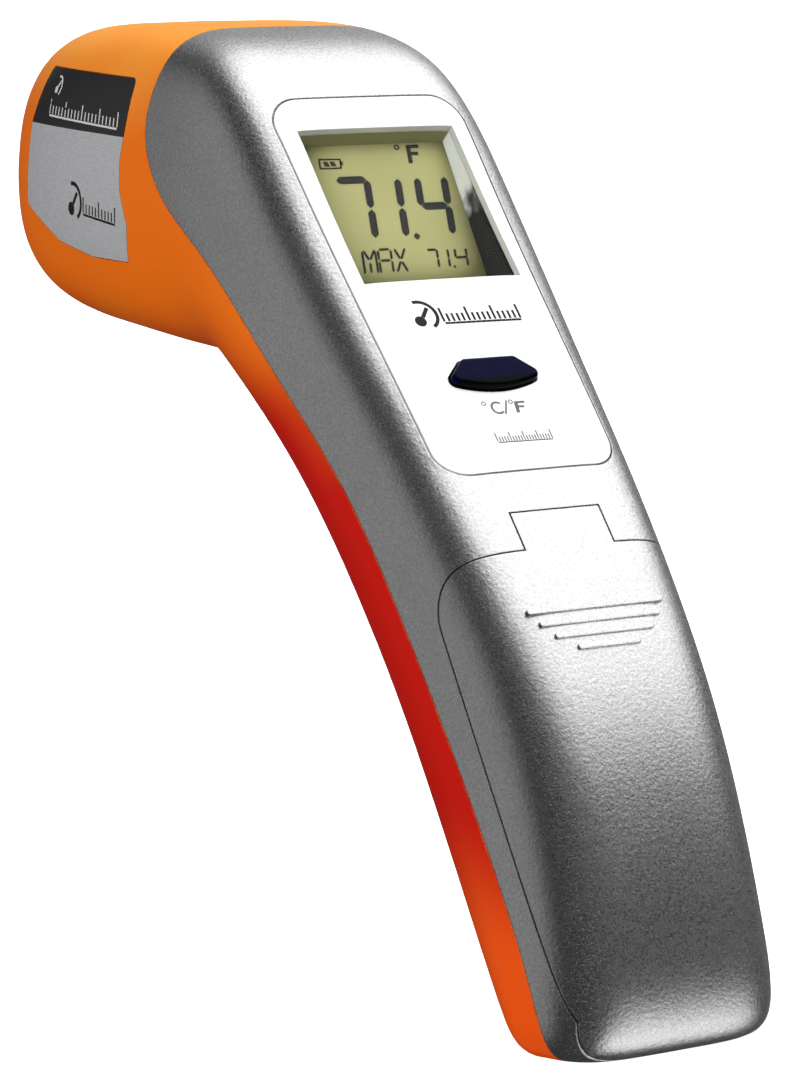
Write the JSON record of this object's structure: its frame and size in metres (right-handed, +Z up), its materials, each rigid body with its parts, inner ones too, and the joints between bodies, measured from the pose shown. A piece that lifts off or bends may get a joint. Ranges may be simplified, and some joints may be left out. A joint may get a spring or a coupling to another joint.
{
  "type": "infrared thermometer",
  "caption": "Handheld infrared thermometer with a sloping grip, rounded nose, backlit display, mode button, trigger and sliding battery door.",
  "frame": {"origin": "centre line of the flat butt of the handle, on the face it stands on", "axes": "+X to the user's right, +Y where the lens looks, +Z up, out of the butt into the handle"},
  "size_m": [0.04, 0.1373, 0.111],
  "materials": {
    "silver_paint": "fine metallic silver paint on moulded plastic",
    "orange_plastic": "moulded orange, satin, fine grain",
    "white_panel": "glossy white",
    "clear_window": "clear acrylic",
    "black_plastic": "black moulded",
    "lcd": "olive liquid crystal display",
    "navy_plastic": "glossy dark blue",
    "trigger_plastic": "dark blue satin",
    "label": "printed silver nameplate with a black band",
    "lens": "milky infrared lens",
    "steel": "plated steel",
    "spring_steel": "nickel plated",
    "brass": "turned brass",
    "circuit_board": "green solder mask",
    "chip": "epoxy package",
    "component": "ceramic and moulded parts",
    "backlight": "white light guide",
    "rubber": "conductive silicone strip",
    "cell": "printed cell jacket"
  },
  "bodies": {
    "housing": {"rear_shell": "silver_paint", "front_shell": "orange_plastic", "display_panel": "white_panel", "display_window": "clear_window", "display_bezel": "black_plastic", "display_glass": "lcd", "left_label": "label", "right_label": "label", "nose_insert": "black_plastic", "lens_barrel": "black_plastic", "infrared_lens": "lens", "thermopile_can": "steel", "sensor_board": "circuit_board", "laser_module": "brass", "laser_window": "clear_window", "trigger_pin": "steel", "trigger_switch": "black_plastic", "main_board": "circuit_board", "microcontroller": "chip", "buzzer": "black_plastic", "board_components": "component", "board_screws": "steel", "display_backlight": "backlight", "zebra_strips": "rubber", "mode_switch": "black_plastic", "battery_tray": "black_plastic", "left_cell": "cell", "right_cell": "cell", "cell_springs": "spring_steel", "contact_plates": "spring_steel", "case_screws": "steel"},
    "battery_door": {"battery_door": "silver_paint"},
    "mode_button": {"mode_button": "navy_plastic", "switch_plunger": "component"},
    "trigger": {"trigger": "trigger_plastic"}
  },
  "joints": [
    {"name": "door_slide", "type": "slide", "parent": "housing", "child": "battery_door", "axis": [0, -0.6157, -0.788], "range_m": [0, 0.06]},
    {"name": "mode_press", "type": "slide", "parent": "housing", "child": "mode_button", "axis": [0, 0.7071, -0.7071], "range_m": [0, 0.0008], "stiffness_N_per_m": 900, "springref_m": -0.0006},
    {"name": "trigger_pull", "type": "hinge", "parent": "housing", "child": "trigger", "pos_m": [0, 0.06642, 0.06944], "axis": [-1, 0, 0], "range_deg": [0, 8], "stiffness_Nm_per_rad": 0.6, "springref_deg": -2.86}
  ]
}
